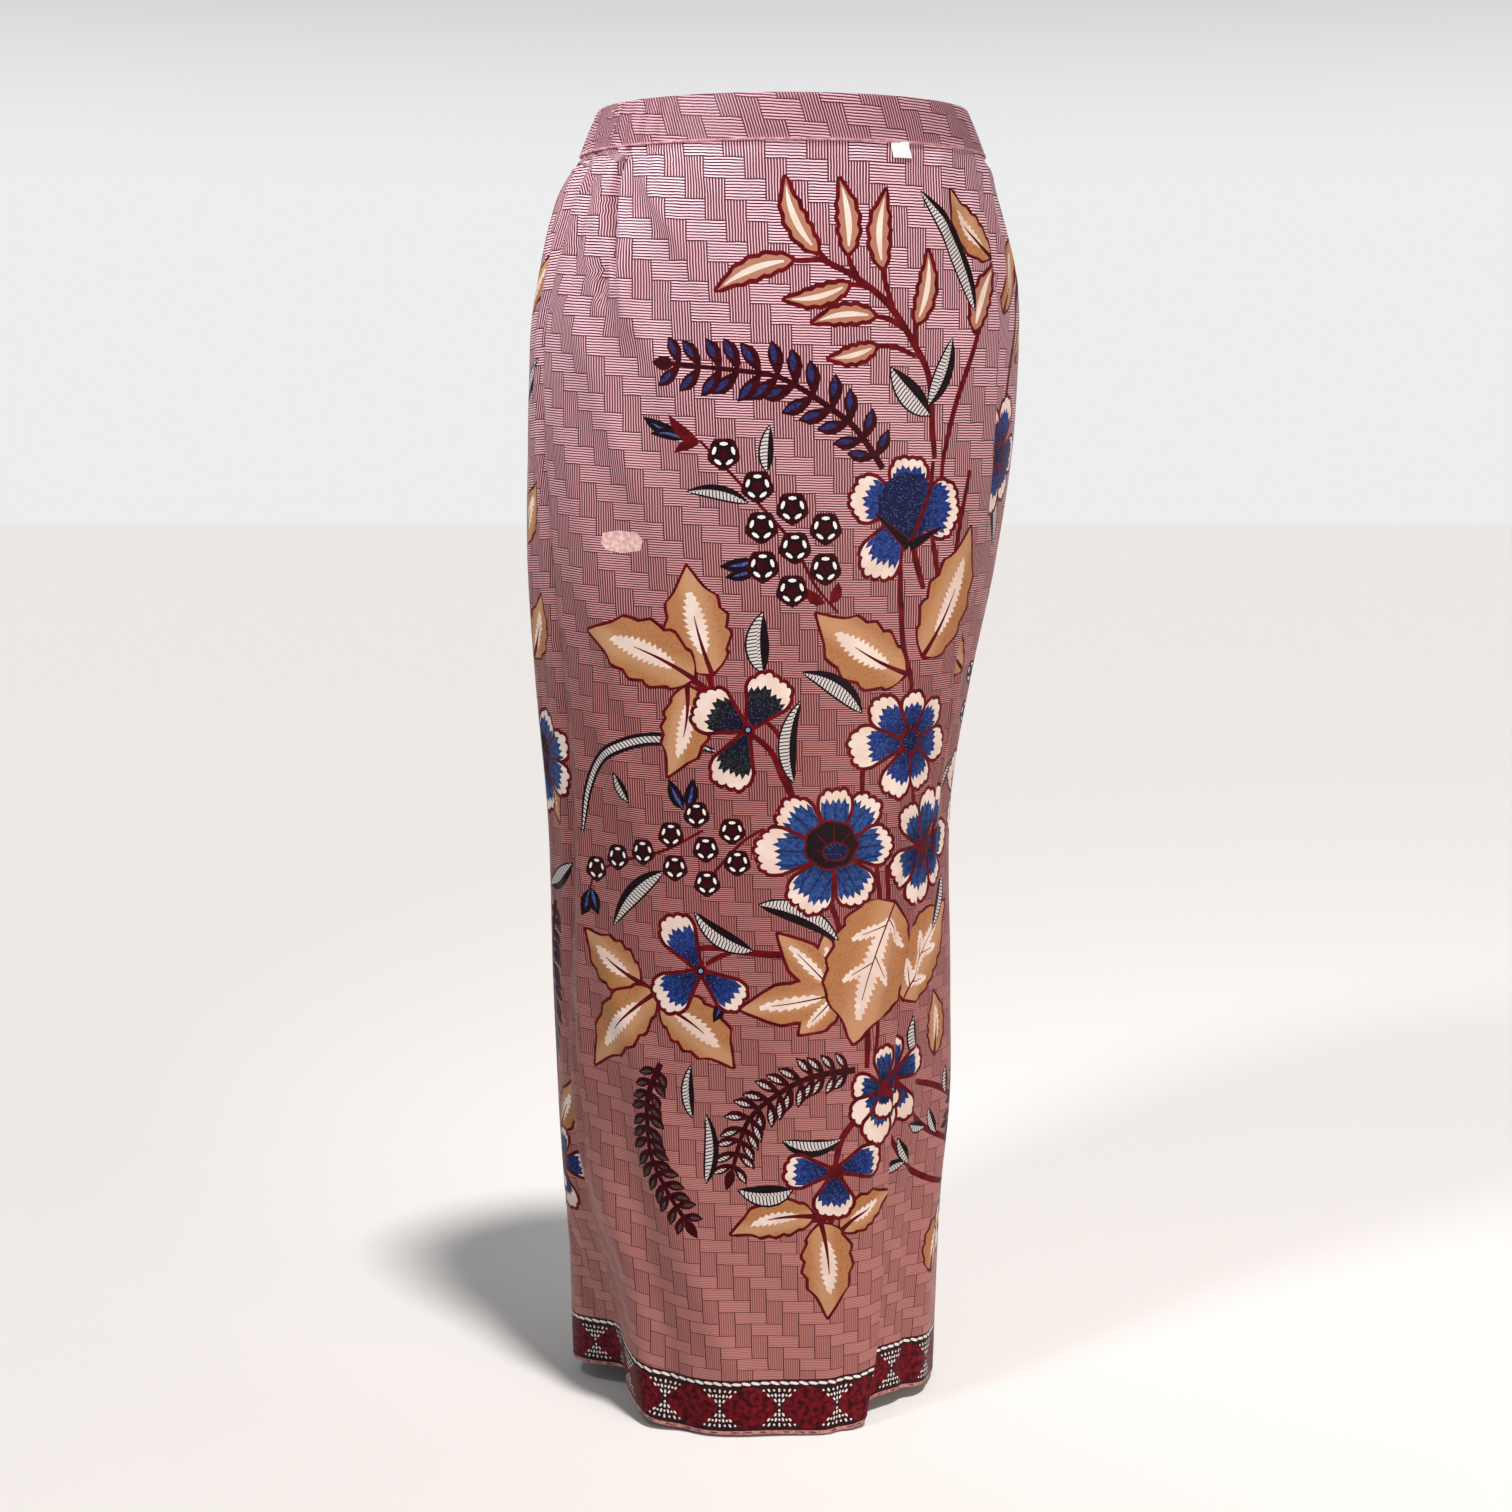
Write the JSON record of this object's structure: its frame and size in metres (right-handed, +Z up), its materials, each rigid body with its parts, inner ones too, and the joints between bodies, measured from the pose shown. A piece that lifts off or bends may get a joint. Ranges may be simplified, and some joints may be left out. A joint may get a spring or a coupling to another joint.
{
  "type": "batik skirt",
  "caption": "Long straight batik skirt as worn: a hollow cloth tube, open at waist and hem, with a flat front waistband and an elastic back waistband.",
  "frame": {"origin": "middle of the waist opening, at the top edge of the waistband", "axes": "+Z up along the wearer, the front faces -Y, +X to the right as the front is seen"},
  "size_m": [0.3881, 0.2833, 1.011],
  "materials": {
    "batik_cloth": "smooth printed batik cloth with a soft sheen",
    "band_cloth": "the same printed cloth, doubled",
    "label_weave": "plain white woven tape"
  },
  "bodies": {
    "root": {"front_panel": "batik_cloth", "back_panel": "batik_cloth", "front_waistband": "band_cloth", "back_waistband": "band_cloth", "label_tab": "label_weave"}
  },
  "joints": []
}
